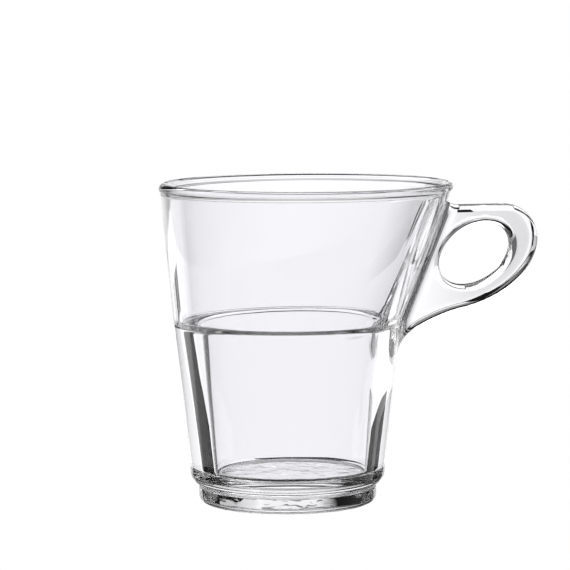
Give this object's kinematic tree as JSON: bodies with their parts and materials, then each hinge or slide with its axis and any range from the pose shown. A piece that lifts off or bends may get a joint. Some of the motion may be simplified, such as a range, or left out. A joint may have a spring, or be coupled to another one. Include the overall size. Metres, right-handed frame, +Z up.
{
  "type": "handled glass cup",
  "caption": "Clear pressed-glass cup with a rolled rim leaning to its ring handle, an inner stacking ledge half-way up, a thick lower body and a stepped foot.",
  "frame": {"origin": "centre of the foot's flat underside, on the axis of the lower body", "axes": "+Z up out of the mouth, +X from the bowl to the handle, XZ is the plane of symmetry"},
  "size_m": [0.11, 0.084, 0.0915],
  "materials": {
    "bowl_glass": "clear, fire-polished",
    "handle_glass": "clear, fire-polished"
  },
  "bodies": {
    "root": {"bowl": "bowl_glass", "handle": "handle_glass"}
  },
  "joints": []
}
